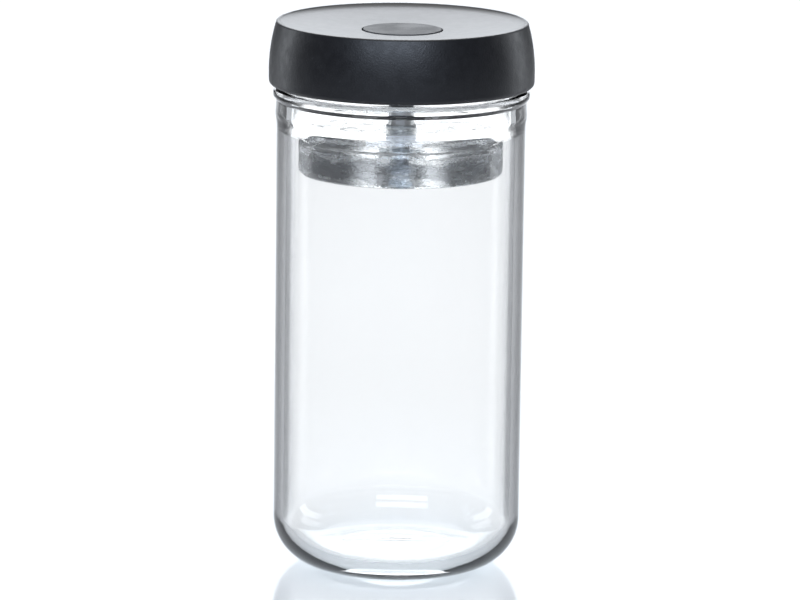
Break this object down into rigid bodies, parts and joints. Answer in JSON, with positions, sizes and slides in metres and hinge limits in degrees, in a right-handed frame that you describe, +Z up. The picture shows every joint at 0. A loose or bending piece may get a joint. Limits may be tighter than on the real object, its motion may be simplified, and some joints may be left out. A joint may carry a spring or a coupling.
{
  "type": "fermentation jar",
  "caption": "Tall clear glass fermentation jar with a black screw lid, a press-to-vent button in the dished top and a glass press weight hung from the lid on a snap-in knob.",
  "frame": {"origin": "middle of the jar's base, on the surface it stands on", "axes": "+Z up along the jar's axis, -Y towards the viewer of the picture, +X to the viewer's right"},
  "size_m": [0.1226, 0.1226, 0.2555],
  "materials": {
    "jar_glass": "clear pressed glass",
    "weight_glass": "clear solid glass",
    "lid_black": "satin black with a fine texture",
    "liner_black": "matte black",
    "button_grey": "matte soft-touch dark grey",
    "valve_white": "natural white",
    "silicone": "translucent silicone",
    "steel": "polished stainless steel"
  },
  "bodies": {
    "jar": {"jar_glass": "jar_glass"},
    "gasket": {"rim_gasket": "silicone"},
    "lid": {"lid_shell": "lid_black", "lid_liner": "liner_black", "umbrella_valve": "silicone", "weight_socket": "liner_black", "socket_ring": "silicone", "button_spring": "steel"},
    "button": {"vent_button": "button_grey", "valve_stem": "valve_white", "valve_seal": "silicone", "valve_screw": "steel"},
    "weight": {"weight_knob": "steel", "weight_glass": "weight_glass", "washer_upper": "silicone", "washer_lower": "silicone", "weight_nut": "steel"}
  },
  "joints": [
    {"name": "lid_lift", "type": "slide", "parent": "jar", "child": "gasket", "axis": [0, 0, 1], "range_m": [0, 0.072]},
    {"name": "lid_turn", "type": "hinge", "parent": "gasket", "child": "lid", "pos_m": [0, 0, 0.235], "axis": [0, 0, 1], "range_deg": [0, 720]},
    {"name": "button_press", "type": "slide", "parent": "lid", "child": "button", "axis": [0, 0, -1], "range_m": [0, 0.003], "stiffness_N_per_m": 500, "springref_m": -0.004, "deforming": ["button_spring"]},
    {"name": "weight_drop", "type": "slide", "parent": "lid", "child": "weight", "axis": [0, 0, -1], "range_m": [0, 0.175]}
  ],
  "couplings": [
    {"joint": "lid_lift", "follows": "lid_turn", "m_per_rad": 0.0057295}
  ]
}
